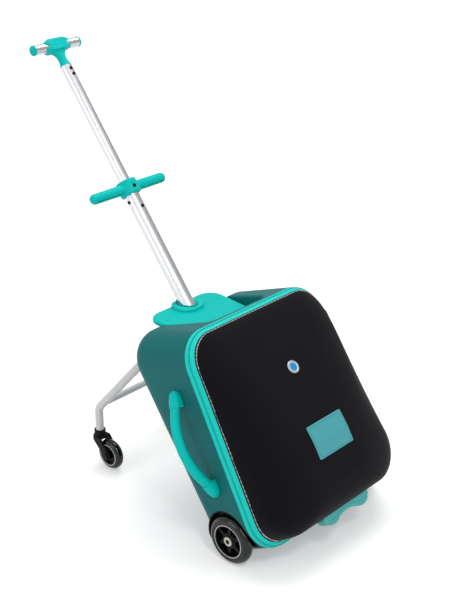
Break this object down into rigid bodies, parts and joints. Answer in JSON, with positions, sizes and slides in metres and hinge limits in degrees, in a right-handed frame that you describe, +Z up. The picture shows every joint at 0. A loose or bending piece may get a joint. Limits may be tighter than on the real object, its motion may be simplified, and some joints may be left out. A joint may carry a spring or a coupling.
{
  "type": "ride-on suitcase",
  "caption": "Hard-shell cabin case with a seat plate, telescopic pole with handlebar and pull grip, zip-round domed cover, rear wheels and fold-out caster legs.",
  "frame": {"origin": "on the floor, midway between the two rear wheels, below their axle", "axes": "+X to the right seen from the cover, +Y towards the caster legs, +Z up; stored in the riding stance with the pole out"},
  "size_m": [0.4083, 0.7444, 0.7969],
  "materials": {
    "shell_teal": "satin moulded shell, dark teal",
    "turquoise": "satin moulded turquoise plastic",
    "zip_turquoise": "woven zip tape with moulded teeth",
    "cover_black": "knit laminate over moulded foam",
    "piping_grey": "light grey piping cord",
    "hinge_black": "woven hinge strip",
    "lining_grey": "woven lining",
    "anodised": "anodised tube",
    "leg_grey": "light grey powder coat",
    "black_plastic": "moulded black nylon",
    "tyre_black": "glossy cast polyurethane",
    "hub_black": "moulded black wheel hub",
    "steel": "zinc plated steel",
    "dark_steel": "blackened rivet",
    "bush_dark": "acetal guide",
    "badge_white": "plain enamel disc",
    "label_teal": "plain woven patch"
  },
  "bodies": {
    "case": {"rear_shell": "shell_teal", "lining": "lining_grey", "shell_zip_tape": "zip_turquoise", "hinge_fabric": "hinge_black", "seat_plate": "turquoise", "seat_screws": "turquoise", "pole_sleeve": "anodised", "sleeve_bush": "bush_dark", "wheel_housing_left": "black_plastic", "wheel_housing_right": "black_plastic", "axle_bolt_left": "steel", "axle_bolt_right": "steel", "leg_bracket_left": "black_plastic", "leg_bracket_right": "black_plastic", "leg_pivot_left": "steel", "leg_pivot_right": "steel", "carry_grip": "turquoise", "carry_cap_upper": "turquoise", "carry_cap_lower": "turquoise"},
    "cover": {"cover_shell": "cover_black", "cover_zip_tape": "zip_turquoise", "cover_hinge_strip": "hinge_black", "cover_piping": "piping_grey", "badge_disc": "badge_white", "label_patch": "label_teal", "standing_foot": "shell_teal"},
    "slider": {"zip_slider": "turquoise"},
    "pull": {"zip_pull": "turquoise"},
    "lower_pole": {"lower_tube": "anodised", "lower_tube_guide": "bush_dark", "tube_bush": "bush_dark", "tube_rivet": "dark_steel", "handlebar": "turquoise", "handlebar_screw": "dark_steel"},
    "button": {"lock_button": "dark_steel"},
    "upper_pole": {"upper_tube": "anodised", "upper_tube_guide": "bush_dark", "grip_rivets": "dark_steel", "t_grip": "turquoise", "t_bar": "anodised", "grip_cap_left": "turquoise", "grip_cap_right": "turquoise"},
    "leg_frame": {"leg_tube_left": "leg_grey", "leg_tube_right": "leg_grey", "leg_crossbar": "leg_grey"},
    "caster_left": {"caster_fork_left": "black_plastic", "caster_bolt_left": "steel"},
    "caster_wheel_left": {"caster_hub_left": "hub_black", "caster_tyre_left": "tyre_black"},
    "rear_wheel_left": {"rear_tyre_left": "tyre_black", "rear_hub_left": "hub_black", "rear_bearings_left": "steel"},
    "caster_right": {"caster_fork_right": "black_plastic", "caster_bolt_right": "steel"},
    "caster_wheel_right": {"caster_hub_right": "hub_black", "caster_tyre_right": "tyre_black"},
    "rear_wheel_right": {"rear_tyre_right": "tyre_black", "rear_hub_right": "hub_black", "rear_bearings_right": "steel"}
  },
  "joints": [
    {"name": "cover_hinge", "type": "hinge", "parent": "case", "child": "cover", "pos_m": [0, -0.07633, 0.04413], "axis": [1, 0, 0], "range_deg": [0, 75]},
    {"name": "zip_slide", "type": "slide", "parent": "case", "child": "slider", "axis": [0.0301, -0.5035, -0.8634], "range_m": [0, 0.2]},
    {"name": "pull_hinge", "type": "hinge", "parent": "slider", "child": "pull", "pos_m": [0.18254, 0.08875, 0.3272], "axis": [0, -0.8638, 0.5038], "range_deg": [0, 150]},
    {"name": "lower_pole_slide", "type": "slide", "parent": "case", "child": "lower_pole", "axis": [0, 0.617, 0.7869], "range_m": [-0.198, 0]},
    {"name": "lock_button_press", "type": "slide", "parent": "lower_pole", "child": "button", "axis": [1, 0, 0], "range_m": [0, 0.0012], "stiffness_N_per_m": 400, "springref_m": -0.001},
    {"name": "upper_pole_slide", "type": "slide", "parent": "lower_pole", "child": "upper_pole", "axis": [0, 0.617, 0.7869], "range_m": [-0.22, 0]},
    {"name": "leg_fold", "type": "hinge", "parent": "case", "child": "leg_frame", "pos_m": [0, 0.26832, 0.28015], "axis": [1, 0, 0], "range_deg": [-57, 0]},
    {"name": "caster_swivel_left", "type": "hinge", "parent": "leg_frame", "child": "caster_left", "pos_m": [-0.1087, 0.4098, 0.064], "axis": [0, 0, 1], "continuous": true},
    {"name": "caster_spin_left", "type": "hinge", "parent": "caster_left", "child": "caster_wheel_left", "pos_m": [-0.1087, 0.38, 0.0306], "axis": [1, 0, 0], "continuous": true},
    {"name": "rear_spin_left", "type": "hinge", "parent": "case", "child": "rear_wheel_left", "pos_m": [-0.1766, 0, 0.045], "axis": [1, 0, 0], "continuous": true},
    {"name": "caster_swivel_right", "type": "hinge", "parent": "leg_frame", "child": "caster_right", "pos_m": [0.1087, 0.4098, 0.064], "axis": [0, 0, 1], "continuous": true},
    {"name": "caster_spin_right", "type": "hinge", "parent": "caster_right", "child": "caster_wheel_right", "pos_m": [0.1087, 0.38, 0.0306], "axis": [1, 0, 0], "continuous": true},
    {"name": "rear_spin_right", "type": "hinge", "parent": "case", "child": "rear_wheel_right", "pos_m": [0.1766, 0, 0.045], "axis": [1, 0, 0], "continuous": true}
  ]
}
